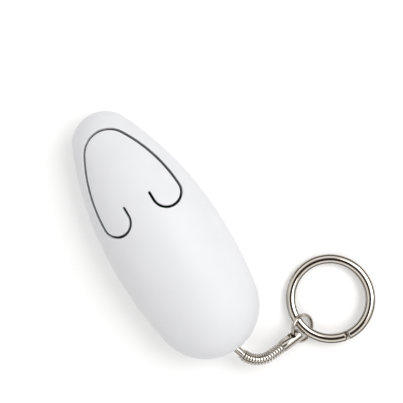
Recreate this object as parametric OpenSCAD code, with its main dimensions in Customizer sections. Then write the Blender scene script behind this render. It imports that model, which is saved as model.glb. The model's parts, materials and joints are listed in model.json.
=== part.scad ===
// Hand-held laser cat toy: an egg-shaped body with a flexing press button, a snake-chain tail and a key ring.
// Millimetres. +Y points to the nose, +Z up, origin on the flat underside below the middle of the body.

/* [Body] */
// Length of the body from nose to tail
body_len = 76; // [70:0.5:84]
// Greatest width of the body
body_w = 33; // [32:0.5:38]
// Distance from the tail tip to the widest place
widest_from_tail = 32.5; // [30:0.5:36]
// Radius of the nose seen from above
nose_r = 9.3; // [8.6:0.1:10.4]
// How much smaller the tail's radius is than half of the body's width
tail_draw = 1.6; // [0.8:0.1:2.4]
// Height of the body's axis and parting plane above the flat underside
belly_h = 8.8; // [8.6:0.1:10.5]
// Thickness of the shells
wall = 1.6; // [1.3:0.1:1.9]

/* [Press button] */
// Width of the slit round the button
slit_w = 0.6; // [0.4:0.05:0.8]
// Distance from the nose tip back to the slit's front
slit_setback = 6.1; // [5.5:0.1:7]
// Radius of the slit round the button's front
slit_front_r = 6.9; // [6.4:0.1:7.3]
// Radius of the slit along the button's flanks
slit_flank_r = 42; // [38:1:50]
// Radius of the hooks at the slit's ends
hook_r = 3.85; // [3.4:0.05:4.1]
// Sideways distance of the hooks' centres from the middle
hook_x = 7.75; // [7.4:0.05:8]
// Distance from the nose tip back to the hooks' centres
hook_setback = 29.5; // [28:0.1:31]
// Straight run at each hook's tip
hook_tip = 2.2; // [1.8:0.1:2.8]
// Radius of the bead on which the button's root bends
bead_r = 0.5; // [0.4:0.05:0.55]

/* [Laser] */
// Outer radius of the laser barrel
barrel_r = 3.2; // [3:0.1:3.4]
// Length of the laser barrel
barrel_len = 12.3; // [11.5:0.1:13]
// Wall of the laser barrel
barrel_wall = 0.5; // [0.4:0.05:0.7]
// Radius of the hole in the nose
aperture_r = 1.6; // [1.2:0.1:2]
// Radius of the nose window
window_r = 2.6; // [2.4:0.1:2.8]
// Thickness of the nose window
window_t = 1.1; // [0.8:0.1:1.3]

/* [Electrics] */
// Radius of a button cell
cell_r = 5.8; // [5.6:0.05:5.9]
// Thickness of a button cell
cell_t = 5.4; // [5:0.1:5.6]
// Length of the circuit board
board_len = 19; // [17:0.5:20]
// Width of the circuit board
board_w = 12; // [10:0.5:13]
// Thickness of the circuit board
board_t = 1; // [0.8:0.1:1.2]
// Side of the square push switch
switch_side = 6; // [5:0.1:6.4]
// Height of the push switch's body
switch_h = 3.5; // [3:0.1:4]
// Radius of the switch plunger
plunger_r = 1.7; // [1.5:0.1:1.9]
// Height of the plunger above the switch's body
plunger_rise = 1.4; // [1.1:0.1:1.7]
// Gap between the laser barrel and the push switch behind it
switch_gap = 0.65; // [0.4:0.05:1]
// Radius of the leads
lead_r = 0.55; // [0.45:0.05:0.6]

/* [Battery door] */
// Length of the battery door's tab, which its screw holds
door_tab = 4.9; // [4.6:0.1:5.4]
// Corner radius of the battery door
door_corner = 2.5; // [2:0.1:3]
// Height of the ledge that the door seats against
ledge_h = 1; // [0.8:0.1:1.2]
// Width of the ledge that the door seats against
ledge_w = 0.9; // [0.7:0.05:1]

/* [Screws] */
// Radius of the housing screws' shanks
screw_r = 1; // [0.9:0.05:1.1]
// Radius of the housing screws' heads
screw_head_r = 1.9; // [1.8:0.05:2]
// Height of the housing screws' heads
screw_head_h = 1.4; // [1.2:0.1:1.5]
// Length of the housing screws' shanks
screw_len = 9; // [8:0.5:10]
// Wall of the screw bosses round the heads
boss_wall = 0.55; // [0.4:0.05:0.65]
// Radius of the door screw's shank
door_screw_r = 0.8; // [0.7:0.05:0.9]
// Radius of the door screw's head
door_screw_head_r = 1.6; // [1.5:0.05:1.7]

/* [Tail chain] */
// Distance from the tail tip to the tail pin
pin_setback = 2.6; // [2.4:0.1:2.9]
// Radius of the tail pin
pin_r = 0.6; // [0.5:0.05:0.7]
// Half of the tail pin's length
pin_half = 3.8; // [3.4:0.1:4]
// Radius of the eye on the tail ferrule
eye_r = 1.6; // [1.5:0.05:1.8]
// Radius of the tail ferrule's neck
neck_r = 1.1; // [1:0.05:1.2]
// Length of the tail ferrule from the pin to the chain
ferrule_len = 5.6; // [5.4:0.1:6.2]
// Angle of the ferrule away from the body's axis as it lies
ferrule_yaw = 16; // [10:1:20]
// Slope of the chain down from the tail
chain_slope = 10; // [8:0.5:11]
// Number of links in the chain
links = 15; // [13:1:17]
// Distance between neighbouring links
link_pitch = 0.8; // [0.78:0.01:0.84]
// Outer radius of a link
link_r = 1.6; // [1.5:0.05:1.65]
// Thickness of a link
link_t = 0.54; // [0.5:0.01:0.56]
// Number of links that lie in the curl
curl_links = 11; // [9:1:12]
// Angle between neighbouring links in the curl
curl_step = 7; // [6:0.1:7.5]
// Radius of the end cap
cap_r = 1.75; // [1.7:0.05:1.9]
// Length of the end cap
cap_len = 6.6; // [6.2:0.1:6.8]
// Radius of the eye across the end cap
cap_eye_r = 1.45; // [1.4:0.01:1.5]
// Distance from the end cap's start to its eye
cap_eye_at = 4.6; // [4.4:0.1:4.8]
// Turn of the eye about the end cap's axis
cap_eye_turn = 30; // [28:1:32]

/* [Rings] */
// Radius of the jump ring at the middle of its wire
jump_r = 3.8; // [3.65:0.05:4]
// Radius of the jump ring's wire
jump_wire_r = 0.5; // [0.4:0.05:0.55]
// Fall of the jump ring below the end cap's axis
jump_fall = 18; // [15:1:20]
// Outer diameter of the key ring
ring_od = 25; // [24:0.5:28]
// Radial width of the key ring's band
ring_band = 2.6; // [2.2:0.1:2.8]
// Thickness of one turn of the key ring
ring_turn = 1; // [0.8:0.05:1.05]
// Gap between the two turns of the key ring
ring_split = 0.1; // [0.06:0.01:0.16]
// Tilt of the key ring, which leans on the jump ring
ring_tilt = 7; // [6:0.5:8]
// Direction of the key ring's middle from the jump ring
ring_heading = 14; // [12:0.5:16]

/* [Fits] */
// Radial clearance of turning and sliding fits
running = 0.05; // [0.02:0.01:0.08]
// Gap round the battery door
door_gap = 0.2; // [0.15:0.05:0.3]
// Gap where pieces only have to stay clear
free_gap = 0.15; // [0.1:0.01:0.2]
// Slack of screws, pins and soldered leads against what holds them
snug_gap = 0.03; // [0.02:0.01:0.05]
// Gap round the button cells in their opening
cell_gap = 0.3; // [0.2:0.05:0.4]

/* [Hidden] */
$fn = 64;
smooth = 160;

// Body outline: four tangent arcs on each side, with the nose and tail as circles
half_w = body_w / 2;
tail_r = half_w - tail_draw;
nose_y = body_len / 2;
tail_y = -body_len / 2;
wide_y = tail_y + widest_from_tail;
nose_c = nose_y - nose_r;
tail_c = tail_y + tail_r;
function flank_radius(run, end_r) = (half_w^2 + run^2 - 2 * end_r * run) / (2 * (half_w - end_r));
front_flank_r = flank_radius(nose_y - wide_y, nose_r);
rear_flank_r = flank_radius(wide_y - tail_y, tail_r);
// Arcs meet on a line at a whole thousandth, so that neighbouring pieces share it exactly
function station(y) = round(1000 * y) / 1000;
front_join = (nose_c - wide_y) / (front_flank_r - nose_r);
rear_join = (tail_c - wide_y) / (rear_flank_r - tail_r);
// Reach of cuts that run right through, and of cuts that only run past a face
far = 2 * body_len;
past = 1;

// Press button
slit_c = nose_y - slit_setback - slit_front_r;
hook_y = nose_y - hook_setback;
bend_y = hook_y + hook_tip;
neck_x = hook_x - hook_r;
hook_run = [hook_x, hook_y - slit_c];
hook_far = norm(hook_run);
flank_to_front = slit_flank_r - slit_front_r;
flank_to_hook = slit_flank_r - hook_r;
flank_along = (flank_to_front^2 - flank_to_hook^2 + hook_far^2) / (2 * hook_far);
flank_aside = sqrt(flank_to_front^2 - flank_along^2);
flank_c = [0, slit_c] + (hook_run * flank_along + [hook_run[1], -hook_run[0]] * flank_aside) / hook_far;
function dome_at(y, inset) = sqrt((front_flank_r - inset)^2 - (y - wide_y)^2) - front_flank_r + half_w;
bend_sag = 0.12;
bend_z = belly_h + dome_at(bend_y, wall / 2) - bend_sag;

// Laser
window_setback = 4.7;
window_seat = nose_y - window_setback;
window_pocket = window_t + running;
nose_boss_wall = 1.8;
nose_boss_r = window_r + nose_boss_wall;
flare_out = 0.8;
flare_r = aperture_r + flare_out;
flare_len = 1.6;
barrel_front = window_seat - free_gap;
barrel_back = barrel_front - barrel_len;
bore_r = barrel_r - barrel_wall;
fill_r = bore_r - running;
shoulder_setback = 5.5;
shoulder_y = barrel_front - shoulder_setback;
shoulder_t = 1;
shoulder_lip = 0.9;
shoulder_r = bore_r - shoulder_lip;
lens_t = 1.2;
lens_bulge = 0.8;
nut_len = 2.2;
nut_bore_r = 1.4;
diode_flange_t = 1.2;
diode_can_r = 2.1;
diode_can_len = 2.4;
pin_lead_r = 0.22;
pin_lead_len = 4;
pin_lead_step = 1.27;
cradle_t = 1.5;
cradle_half = 5.5;
front_cradle = barrel_front - 4;
rear_cradle = barrel_back + cradle_t;

// Electrics
board_gap = 0.4;
board_front = barrel_back - board_gap;
board_back = board_front - board_len;
board_top = belly_h + board_t / 2;
board_bottom = belly_h - board_t / 2;
post_r = 1.3;
post_inset = 2.2;
switch_y = barrel_back - switch_gap - switch_side / 2;
switch_top = board_top + switch_h;
plunger_top = switch_top + plunger_rise;
plunger_sink = 1.6;
plunger_room = 0.5;
press_post_r = 1.2;
press_gap = 0.08;
cells = 3;
chip = [4, 3, 1.3];
chip_inset = 3;
resistor = [1.2, 2, 0.6];
resistor_step = 4;
resistor_inset = 7.5;
cells_setback = 5.5;
cell_front = board_back - cells_setback;
cell_back = cell_front - cells * cell_t;
cell_cap_r = 4.3;
cell_cap_t = 0.4;
contact_t = 0.4;
contact_half = 4.4;
contact_fall = 2.2;
contact_rise = 4.8;
contact_low = belly_h - contact_fall;
contact_high = belly_h + contact_rise;
stop_t = 1.3;
spring_run = 4;
spring_half = 2.6;
spring_wall = cell_back - spring_run;
spring_touch = belly_h + 0.6;
spring_foot = cell_back - 1.2;
red_lead_x = -3;
black_lead_x = 1.6;
lead_bend = 1.2;
lead_inset = 1.6;
lead_end = board_back + lead_inset;
lead_crown = contact_high + lead_bend;

// Battery door
hatch_slack_front = 0.1;
hatch_slack_back = 0.5;
hatch_front = cell_front + hatch_slack_front;
hatch_back = cell_back - hatch_slack_back;
hatch_half = cell_r + cell_gap;
door_lap = 0.7;
door_front = hatch_front + door_lap;
door_back = hatch_back - door_tab;
door_len = door_front - door_back;
door_w = 2 * (hatch_half + ledge_w);
door_surround = 1.4;
ledge_top = wall + ledge_h;
door_screw_y = (door_back + hatch_back) / 2;
door_boss_gap = 0.4;
door_boss_top = contact_low - door_boss_gap;
door_boss_wall = 1.2;
door_boss_r = door_screw_r + door_boss_wall;
door_boss_cap = 0.3;
door_head_h = 0.9;
door_head_sink = 0.2;
door_screw_spare = 0.8;
trough_t = 1;
trough_step = 0.2;

// Screws
pocket_r = screw_head_r + free_gap;
boss_r = pocket_r + boss_wall;
side_screw_inset = 6;
side_screw_lead = 4.5;
door_web = 0.25;
rear_screw_lead = 3.9;
screw_places = [
    [half_w - side_screw_inset, wide_y + side_screw_lead],
    [door_w / 2 + door_gap + door_web + pocket_r, door_back + rear_screw_lead]];
screw_head_top = 3.4;
recess_span = 1.3;
recess_width = 0.25;
rim_h = 1;
rim_t = 0.8;
rim_root_h = 1.5;
rim_root_t = 0.2;
rim_step = 0.1;
rim_setback = 8;
rim_reach = nose_y - rim_setback;

// Tail
pin_at = [0, tail_y + pin_setback, belly_h];
eye_half = 0.9;
seat_half = eye_half + free_gap;
pin_boss_r = 2.4;
swing = 30;
slot_gap = 0.3;
slot_drop = 1.1;
slot_run = pin_setback + 2;
slot_root_gap = 0.5;
tail_slot_up = neck_r + slot_gap;
tail_slot_down = neck_r + slot_drop;
eye_room = 0.4;
eye_shoulder = 0.2;
collar_len = 0.7;
collar_step = 0.3;
collar_r = neck_r + collar_step;
function heading(yaw) = [cos(yaw) * cos(chain_slope), sin(yaw) * cos(chain_slope), -sin(chain_slope)];
ferrule_heading = ferrule_yaw - 90;
chain_start = pin_at + ferrule_len * heading(ferrule_heading);
function link_yaw(i) = ferrule_heading + curl_step * min(i, curl_links);
function link_foot(i) = i <= 1 ? chain_start : link_foot(i - 1) + link_pitch * heading(link_yaw(i - 1));
cap_yaw = link_yaw(links);
cap_start = link_foot(links + 1);
cap_eye = cap_start + cap_eye_at * heading(cap_yaw);
link_gap = link_pitch - link_t;
cap_bevel = 0.45;

// Rings
cap_along = heading(cap_yaw);
cap_side = [-sin(cap_yaw), cos(cap_yaw), 0];
cap_up = cross(cap_along, cap_side);
eye_axis = cos(cap_eye_turn) * cap_side + sin(cap_eye_turn) * cap_up;
jump_dir = cos(jump_fall) * cap_along - sin(jump_fall) * cross(cap_along, eye_axis);
jump_c = cap_eye + jump_r * jump_dir;
ring_mid_r = (ring_od - ring_band) / 2;
ring_slack = 0.3;
ring_half = ring_turn + ring_split / 2;
ring_h = ring_od / 2 * sin(ring_tilt) + ring_half * cos(ring_tilt);
ring_run = ring_mid_r + ring_slack;
ring_c = [jump_c[0] + ring_run * cos(ring_heading), jump_c[1] + ring_run * sin(ring_heading), ring_h];
ring_round = 0.3;
ring_notch = 0.5;
ring_notch_at = 278;
ring_notch_turn = 20;

echo(eye = cap_eye, eye_axis = eye_axis, jump = jump_c, jump_axis = cross(jump_dir, eye_axis), ring = ring_c);
echo(switch = [0, switch_y, plunger_top], bend = [0, bend_y, bend_z]);
echo(pin = pin_at, feet = [for (i = [1:links]) link_foot(i)]);

// Half of the body's plan, drawn in by inset, with the long axis as its straight edge
module half_plan(inset) {
    front_y = station(nose_c + (nose_r - inset) * front_join);
    rear_y = station(tail_c + (tail_r - inset) * rear_join);
    intersection() {
        translate([half_w - front_flank_r, wide_y]) circle(front_flank_r - inset, $fn = 4 * smooth);
        translate([0, wide_y]) square([body_w, front_y - wide_y]);
    }
    intersection() {
        translate([half_w - rear_flank_r, wide_y]) circle(rear_flank_r - inset, $fn = 4 * smooth);
        translate([0, rear_y]) square([body_w, wide_y - rear_y]);
    }
    intersection() {
        translate([0, nose_c]) circle(nose_r - inset, $fn = smooth);
        translate([0, front_y]) square([body_w, body_len]);
    }
    intersection() {
        translate([0, tail_c]) circle(tail_r - inset, $fn = smooth);
        translate([0, rear_y]) mirror([0, 1]) square([body_w, body_len]);
    }
}

module plan(inset) {
    half_plan(inset);
    mirror([1, 0]) half_plan(inset);
}

// The body's round form about its long axis
module egg(inset) {
    translate([0, 0, belly_h]) rotate([-90, 0, 0]) rotate_extrude($fn = smooth) half_plan(inset);
}

module above(z) {
    translate([-far / 2, -far / 2, z]) cube([far, far, far]);
}

module between(low, high) {
    translate([-far / 2, -far / 2, low]) cube([far, far, high - low]);
}

module top_form() {
    intersection() {
        egg(0);
        above(belly_h);
    }
}

module bottom_form() {
    intersection() {
        egg(0);
        between(0, belly_h);
    }
}

module along_y(y, r, len) {
    translate([0, y, belly_h]) rotate([-90, 0, 0]) cylinder(r = r, h = len);
}

// The button's plan, drawn out from the slit's centre line by grow
module press_plan(grow) {
    front_y = slit_c + (slit_front_r + grow) * (slit_c - flank_c[1]) / flank_to_front;
    difference() {
        union() {
            intersection() {
                translate(flank_c) circle(slit_flank_r + grow, $fn = 2 * smooth);
                translate([-flank_c[0], flank_c[1]]) circle(slit_flank_r + grow, $fn = 2 * smooth);
                translate([-body_w, hook_y]) square([2 * body_w, front_y - hook_y]);
            }
            intersection() {
                translate([0, slit_c]) circle(slit_front_r + grow, $fn = smooth);
                translate([-body_w, front_y]) square([2 * body_w, body_len]);
            }
            for (side = [-1, 1]) {
                translate([side * hook_x, hook_y]) circle(hook_r + grow, $fn = smooth);
            }
        }
        translate([-neck_x + grow, hook_y - body_len])
            square([2 * (neck_x - grow), bend_y - hook_y + body_len]);
    }
}

module nose_boss() {
    along_y(window_seat, nose_boss_r, nose_y - window_seat);
}

module nose_bore() {
    along_y(window_seat - past, aperture_r, nose_y);
    along_y(window_seat - past, window_r + running, past + window_pocket);
    translate([0, nose_y - flare_len, belly_h]) rotate([-90, 0, 0])
        cylinder(r1 = aperture_r, r2 = flare_r, h = flare_len);
}

// Fan-shaped opening in which the tail ferrule swings
module tail_slot() {
    reach = slot_run * tan(swing) + (neck_r + slot_gap) / cos(swing);
    root = neck_r + slot_root_gap;
    translate([0, pin_at[1], belly_h - tail_slot_down])
        linear_extrude(tail_slot_up + tail_slot_down)
            polygon([[-root, 0], [root, 0], [reach, -slot_run], [-reach, -slot_run]]);
    translate([0, pin_at[1], belly_h - seat_half]) cylinder(r = eye_r + eye_room, h = 2 * seat_half);
}

module at_screws() {
    for (place = screw_places, side = [-1, 1]) {
        translate([side * place[0], place[1], 0]) children();
    }
}

module tail_post() {
    translate([pin_at[0], pin_at[1], 0]) cylinder(r = pin_boss_r, h = far);
}

module pin_hole() {
    translate([pin_at[0], pin_at[1], belly_h - pin_half - free_gap])
        cylinder(r = pin_r + snug_gap, h = 2 * (pin_half + free_gap));
}

module top_shell() {
    color("white") difference() {
        union() {
            difference() {
                top_form();
                egg(wall);
            }
            intersection() {
                top_form();
                union() {
                    nose_boss();
                    intersection() {
                        at_screws() cylinder(r = boss_r, h = far);
                        above(belly_h);
                    }
                    intersection() {
                        tail_post();
                        above(belly_h);
                    }
                }
            }
        }
        translate([0, 0, belly_h + wall]) linear_extrude(far) press_plan(slit_w / 2);
        translate([0, bend_y, bend_z]) rotate([0, 90, 0])
            cylinder(r = bead_r + running, h = 2 * neck_x, center = true);
        translate([-neck_x, bend_y - free_gap, belly_h + wall]) cube([2 * neck_x, past, far]);
        at_screws() cylinder(r = screw_r + snug_gap, h = screw_head_top + screw_len + free_gap);
        nose_bore();
        tail_slot();
        pin_hole();
    }
}

module press_button() {
    post_low = plunger_top + press_gap;
    color("white") {
        difference() {
            intersection() {
                difference() {
                    top_form();
                    egg(wall);
                }
                translate([0, 0, belly_h + wall]) linear_extrude(far) press_plan(-slit_w / 2);
            }
            translate([-neck_x, bend_y - past, belly_h]) cube([2 * neck_x, past, far]);
        }
        intersection() {
            translate([0, switch_y, post_low]) cylinder(r = press_post_r, h = far);
            egg(wall / 2);
        }
        translate([0, bend_y, bend_z]) rotate([0, 90, 0])
            cylinder(r = bead_r, h = 2 * (neck_x - slit_w / 2 - free_gap), center = true);
    }
}

module door_plan(grow) {
    half = door_w / 2 + grow;
    r = door_corner + grow;
    translate([-half + r, door_back - grow]) square([2 * (half - r), door_len + 2 * grow]);
    translate([-half, door_back - grow + r]) square([2 * half, door_len + 2 * (grow - r)]);
    for (x = [-half + r, half - r], y = [door_back - grow + r, door_front + grow - r]) {
        translate([x, y]) circle(r);
    }
}

module cradle(y) {
    translate([-cradle_half, y, wall / 2]) cube([2 * cradle_half, cradle_t, belly_h - wall / 2]);
}

module bottom_fittings() {
    nose_boss();
    tail_post();
    at_screws() cylinder(r = boss_r, h = belly_h);
    cradle(rear_cradle);
    cradle(front_cradle);
    for (x = [-1, 1], y = [board_back + post_inset, board_front - post_inset]) {
        translate([x * (board_w / 2 - post_inset), y, 0]) cylinder(r = post_r, h = board_bottom);
    }
    for (side = [-1, 1]) {
        translate([side * (hatch_half + trough_t / 2 + trough_step) - trough_t / 2, hatch_back, wall / 2])
            cube([trough_t, hatch_front - hatch_back, belly_h - wall / 2]);
    }
    translate([0, door_screw_y, wall]) cylinder(r = door_boss_r, h = door_boss_top - wall);
    translate([0, 0, wall / 2]) linear_extrude(ledge_top - wall / 2) door_plan(door_surround);
}

// Upright wall behind a battery contact
module stop_wall(y) {
    translate([-contact_half, y, wall / 2]) cube([2 * contact_half, stop_t, contact_high - wall / 2]);
}

// Low rim inside the parting line that lines the two shells up
module rim() {
    intersection() {
        union() {
            translate([0, 0, belly_h - rim_root_h]) linear_extrude(rim_root_h - rim_step) difference() {
                plan(wall - rim_root_t);
                plan(wall + free_gap + rim_t);
            }
            translate([0, 0, belly_h - rim_h]) linear_extrude(2 * rim_h) difference() {
                plan(wall + free_gap);
                plan(wall + free_gap + rim_t);
            }
        }
        translate([-body_w, -rim_reach, 0]) cube([2 * body_w, 2 * rim_reach, far]);
    }
}

module bottom_shell() {
    color("white") difference() {
        union() {
            difference() {
                bottom_form();
                egg(wall);
            }
            intersection() {
                bottom_form();
                union() {
                    between(0, wall);
                    bottom_fittings();
                }
            }
            stop_wall(cell_front + contact_t);
            stop_wall(spring_wall - contact_t - stop_t);
            rim();
        }
        along_y(0, barrel_r + running, barrel_front);
        translate([-barrel_r - running, barrel_back, belly_h])
            cube([2 * (barrel_r + running), barrel_len, far]);
        translate([0, 0, -past]) linear_extrude(past + wall) door_plan(door_gap);
        translate([-hatch_half, hatch_back, -past])
            cube([2 * hatch_half, hatch_front - hatch_back, past + belly_h]);
        translate([0, door_screw_y, 0])
            cylinder(r = door_screw_r + running, h = door_boss_top - door_boss_cap);
        at_screws() {
            translate([0, 0, -past]) cylinder(r = screw_r + free_gap, h = far);
            translate([0, 0, -past]) cylinder(r = pocket_r, h = past + screw_head_top);
        }
        nose_bore();
        tail_slot();
        pin_hole();
    }
}

module battery_door() {
    color("whitesmoke") difference() {
        intersection() {
            bottom_form();
            translate([0, 0, -past]) linear_extrude(past + wall) door_plan(0);
        }
        translate([0, door_screw_y, -past]) {
            cylinder(r = door_screw_r + free_gap, h = wall + 2 * past);
            cylinder(r = door_screw_head_r + free_gap, h = past + door_head_h);
        }
    }
}

// Pan-head screw standing on its head, with a cross recess
module screw(head_r, head_h, r, len) {
    difference() {
        union() {
            cylinder(r = head_r, h = head_h);
            cylinder(r = r, h = head_h + len);
        }
        for (turn = [0, 90]) {
            rotate([0, 0, turn]) cube([recess_span * head_r, recess_width * head_r, head_h], center = true);
        }
    }
}

module battery_door_screw() {
    shank_len = door_boss_top - door_head_h - door_screw_spare;
    color("silver") translate([0, door_screw_y, door_head_sink])
        screw(door_screw_head_r, door_head_h - door_head_sink, door_screw_r, shank_len);
}

module housing_screws() {
    color("silver") at_screws() translate([0, 0, screw_head_top - screw_head_h])
        screw(screw_head_r, screw_head_h, screw_r, screw_len);
}

module nose_window() {
    color("lightpink", 0.6) along_y(window_seat, window_r, window_t);
}

module laser_barrel() {
    color("goldenrod") difference() {
        along_y(barrel_back, barrel_r, barrel_len);
        along_y(barrel_back - past, bore_r, shoulder_y - shoulder_t - barrel_back + past);
        along_y(barrel_back, shoulder_r, barrel_len);
        along_y(shoulder_y, bore_r, barrel_len);
    }
}

module laser_diode() {
    color("silver") {
        along_y(barrel_back, fill_r, diode_flange_t);
        along_y(barrel_back, diode_can_r, diode_flange_t + diode_can_len);
        for (i = [-1, 0, 1]) {
            translate([i * pin_lead_step, 0, -board_t / 2 - pin_lead_r - snug_gap])
                along_y(barrel_back - pin_lead_len, pin_lead_r, pin_lead_len + diode_flange_t / 2);
        }
    }
}

module collimator_lens() {
    bulge_r = (nut_bore_r^2 + lens_bulge^2) / (2 * lens_bulge);
    color("aliceblue", 0.5) {
        along_y(shoulder_y, fill_r, lens_t);
        intersection() {
            translate([0, shoulder_y + lens_t + lens_bulge - bulge_r, belly_h]) sphere(bulge_r);
            along_y(shoulder_y, fill_r, lens_t + lens_bulge);
        }
    }
}

module lens_nut() {
    color("goldenrod") difference() {
        along_y(shoulder_y + lens_t, fill_r, nut_len);
        along_y(shoulder_y, nut_bore_r + running, lens_t + nut_len + past);
    }
}

module circuit_board() {
    color("seagreen") translate([-board_w / 2, board_back, board_bottom]) cube([board_w, board_len, board_t]);
}

module push_switch() {
    color("black") difference() {
        translate([-switch_side / 2, switch_y - switch_side / 2, board_top])
            cube([switch_side, switch_side, switch_h]);
        translate([0, switch_y, switch_top - plunger_sink - plunger_room])
            cylinder(r = plunger_r + running, h = far);
    }
}

module switch_plunger() {
    color("dimgray") translate([0, switch_y, switch_top - plunger_sink])
        cylinder(r = plunger_r, h = plunger_sink + plunger_rise);
}

// Driver chip and three small resistors on the board
module driver_parts() {
    color("black") translate([-chip[0] / 2, board_back + chip_inset, board_top]) cube(chip);
    color("dimgray") for (i = [-1, 0, 1]) {
        translate([i * resistor_step - resistor[0] / 2, board_back + resistor_inset, board_top])
            cube(resistor);
    }
}

module button_cell(i) {
    color("lightgray") {
        along_y(cell_back + (i - 1) * cell_t + cell_cap_t, cell_r, cell_t - cell_cap_t);
        along_y(cell_back + (i - 1) * cell_t, cell_cap_r, cell_t);
    }
}

// Leaf spring: a flat back on the stop, and a bent arm that presses on the last cell
module cell_spring() {
    back = spring_wall - contact_t;
    fold = contact_high - contact_t;
    color("silver") translate([-spring_half, 0, 0]) rotate([90, 0, 90]) linear_extrude(2 * spring_half)
        polygon([
            [back, contact_low], [spring_wall, contact_low], [spring_wall, fold],
            [cell_back - contact_t, spring_touch], [spring_foot - contact_t, contact_low + contact_t],
            [spring_foot, contact_low], [cell_back, spring_touch],
            [spring_wall + contact_t, contact_high], [back, contact_high]]);
}

module cell_contact() {
    color("silver") translate([-contact_half, cell_front, wall + ledge_h])
        cube([2 * contact_half, contact_t, contact_high - wall - ledge_h]);
}

// Round tube swept along a route of points, with a flat cap at each end
function unit(v) = v / norm(v);
function route_way(p, i) = unit((i == 0 ? p[1] - p[0] : unit(p[i] - p[i - 1]))
    + (i == len(p) - 1 ? p[i] - p[i - 1] : unit(p[i + 1] - p[i])));
module tube(p, r) {
    sides = 8;
    count = len(p);
    level = [1, 0, 0];
    rings = [for (i = [0:count - 1], k = [0:sides - 1])
        let (way = route_way(p, i), side = unit(cross(way, level)), up = cross(side, way))
        p[i] + r * (cos(360 * k / sides) * side + sin(360 * k / sides) * up)];
    walls = [for (i = [0:count - 2], k = [0:sides - 1], half = [0, 1])
        let (a = i * sides + k, b = i * sides + (k + 1) % sides)
        half == 0 ? [a, a + sides, b] : [b, a + sides, b + sides]];
    first = [for (k = [1:sides - 2]) [0, k, k + 1]];
    last = [for (k = [1:sides - 2]) (count - 1) * sides * [1, 1, 1] + [0, k + 1, k]];
    polyhedron(points = rings, faces = concat(walls, first, last));
}

// Lead that rises from a contact, runs forward over the cells and comes down to the board
module lead(x, from_y) {
    function turn(y, way, a) = [x, y + way * lead_bend * (1 - cos(a)), lead_crown + lead_bend * sin(a)];
    tube(concat(
        [[x, from_y, contact_high]],
        [for (a = [0, 45, 90]) turn(from_y, 1, a)],
        [for (a = [90, 45, 0]) turn(lead_end, -1, a)],
        [[x, lead_end, board_top]]), lead_r);
}

module red_lead() {
    color("red") lead(red_lead_x, cell_front + contact_t + lead_r);
}

module black_lead() {
    color("black") lead(black_lead_x, spring_wall);
}

module tail_pin() {
    color("silver") translate(pin_at) cylinder(r = pin_r, h = 2 * pin_half, center = true);
}

// Puts a shape's Z axis along the chain at the given point and yaw
module on_chain(place, yaw) {
    translate(place) rotate([0, 90 + chain_slope, yaw]) children();
}

module tail_ferrule() {
    color("gainsboro") difference() {
        union() {
            translate(pin_at) cylinder(r = eye_r, h = 2 * eye_half, center = true);
            on_chain(pin_at, ferrule_heading) cylinder(r = neck_r, h = ferrule_len - link_gap / 2);
            on_chain(chain_start - collar_len * heading(ferrule_heading), ferrule_heading)
                cylinder(r = collar_r, h = collar_len - link_gap / 2);
        }
        translate(pin_at) cylinder(r = pin_r + running, h = far, center = true);
        translate(pin_at + [0, 0, eye_half]) cylinder(r = eye_r + eye_shoulder, h = far);
        translate(pin_at - [0, 0, eye_half + far]) cylinder(r = eye_r + eye_shoulder, h = far);
    }
}

// One link: a disc with a rounded rim, centred half a pitch past its foot
module chain_link(i) {
    round_r = link_t / 2;
    color("gainsboro") on_chain(link_foot(i) + link_pitch / 2 * heading(link_yaw(i)), link_yaw(i))
        rotate_extrude() {
            translate([0, -round_r]) square([link_r - round_r, link_t]);
            intersection() {
                translate([link_r - round_r, 0]) circle(round_r, $fn = 32);
                translate([link_r - round_r, -link_t]) square(2 * link_t);
            }
        }
}

module chain_end_cap() {
    start = link_gap / 2;
    color("gainsboro") on_chain(cap_start, cap_yaw) difference() {
        rotate_extrude() polygon([
            [0, start], [cap_r, start], [cap_r, cap_len - cap_bevel],
            [cap_r - cap_bevel, cap_len], [0, cap_len]]);
        translate([0, 0, cap_eye_at]) rotate([0, 0, cap_eye_turn]) rotate([90, 0, 0])
            cylinder(r = cap_eye_r, h = 4 * cap_r, center = true);
    }
}

module jump_ring() {
    color("gainsboro") on_chain(cap_eye, cap_yaw)
        rotate([0, 0, cap_eye_turn]) rotate([0, jump_fall - 90, 0]) translate([jump_r, 0, 0])
            rotate_extrude($fn = smooth) translate([jump_r, 0]) circle(jump_wire_r, $fn = 32);
}

// One turn of the key ring's section: a flat band with rounded corners
module band_section(low) {
    inner = ring_od / 2 - ring_band;
    translate([inner + ring_round, low]) square([ring_band - 2 * ring_round, ring_turn]);
    translate([inner, low + ring_round]) square([ring_band, ring_turn - 2 * ring_round]);
    for (x = [ring_round, ring_band - ring_round], y = [ring_round, ring_turn - ring_round]) {
        translate([inner + x, low + y]) circle(ring_round, $fn = 32);
    }
}

// Cut across one turn at its end
module ring_notch_cut(low) {
    translate([ring_mid_r - ring_band, -ring_notch / 2, low])
        cube([2 * ring_band, ring_notch, ring_turn + past - ring_split / 2]);
}

module key_ring() {
    color("gainsboro") translate(ring_c) rotate([-ring_tilt, 0, 0]) difference() {
        rotate_extrude($fn = smooth) {
            band_section(ring_split / 2);
            band_section(-ring_split / 2 - ring_turn);
            translate([ring_mid_r - ring_band / 4, -ring_split]) square([ring_band / 2, 2 * ring_split]);
        }
        rotate([0, 0, ring_notch_at]) ring_notch_cut(ring_split / 2);
        rotate([0, 0, ring_notch_at + ring_notch_turn]) ring_notch_cut(-ring_turn - past);
    }
}

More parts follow.
